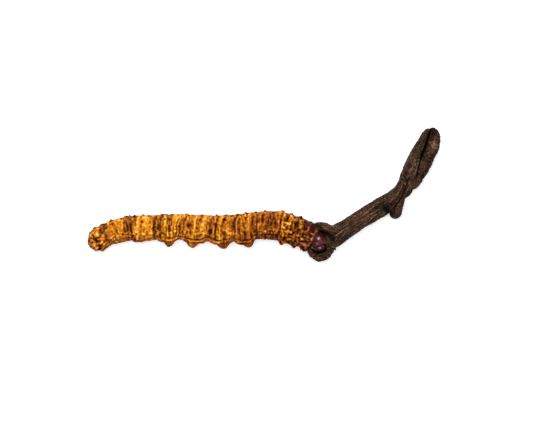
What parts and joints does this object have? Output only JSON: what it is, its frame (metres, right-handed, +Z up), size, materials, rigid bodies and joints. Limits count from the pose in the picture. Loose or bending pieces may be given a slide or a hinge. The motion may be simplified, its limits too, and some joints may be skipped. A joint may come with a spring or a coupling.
{
  "type": "cordyceps fungus",
  "caption": "Dried cordyceps lying on its side: the ringed golden husk of a larva with stubby legs, a dark glossy head in a brown collar, and a bent stalk ending in a folded club.",
  "frame": {"origin": "middle of the bounding box's base, on the surface that the piece lies on", "axes": "+X from the tail towards the head and the club, +Y from the belly towards the back, +Z up"},
  "size_m": [0.0618, 0.0236, 0.0049],
  "materials": {
    "larva_skin": "dry wrinkled skin, golden brown, dull with a slight sheen on the ridges",
    "head_chitin": "hard glossy shell, very dark red",
    "stroma": "dry woody fungus, dark grey brown, matte, finely wrinkled along its length"
  },
  "bodies": {
    "root": {"larva_body": "larva_skin", "head_capsule": "head_chitin", "stroma_stalk": "stroma", "stroma_club": "stroma"}
  },
  "joints": []
}
